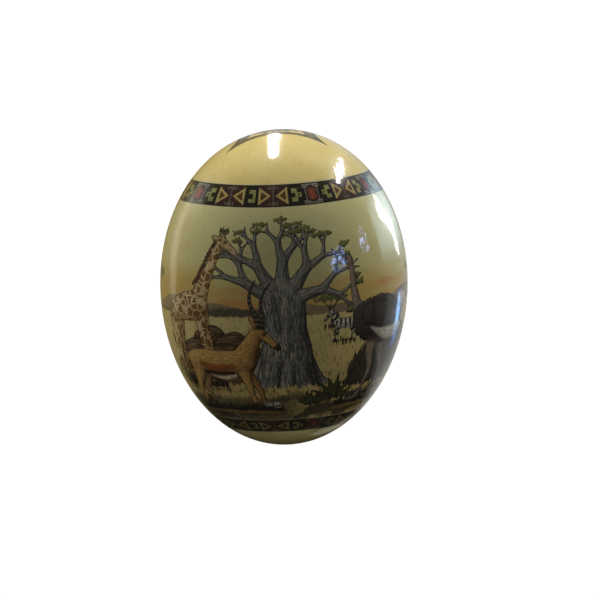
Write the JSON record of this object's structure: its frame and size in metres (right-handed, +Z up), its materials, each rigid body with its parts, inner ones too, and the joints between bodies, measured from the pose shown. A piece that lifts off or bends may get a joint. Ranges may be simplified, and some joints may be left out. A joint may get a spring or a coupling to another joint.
{
  "type": "decorated ostrich egg",
  "caption": "Whole ostrich egg lying on its side, its glossy varnished shell ringed by patterned bands with a plains scene between them.",
  "frame": {"origin": "on the surface that the egg lies on, under the middle of its box", "axes": "+Z up; the long axis runs along Y with the blunt end at +Y and lifted by about 2 degrees; +X is to the right of the painted front seen from above with the blunt end up"},
  "size_m": [0.124, 0.159, 0.1236],
  "materials": {
    "varnished_shell": "eggshell covered with printed paper and clear gloss varnish"
  },
  "bodies": {
    "root": {"egg": "varnished_shell"}
  },
  "joints": []
}
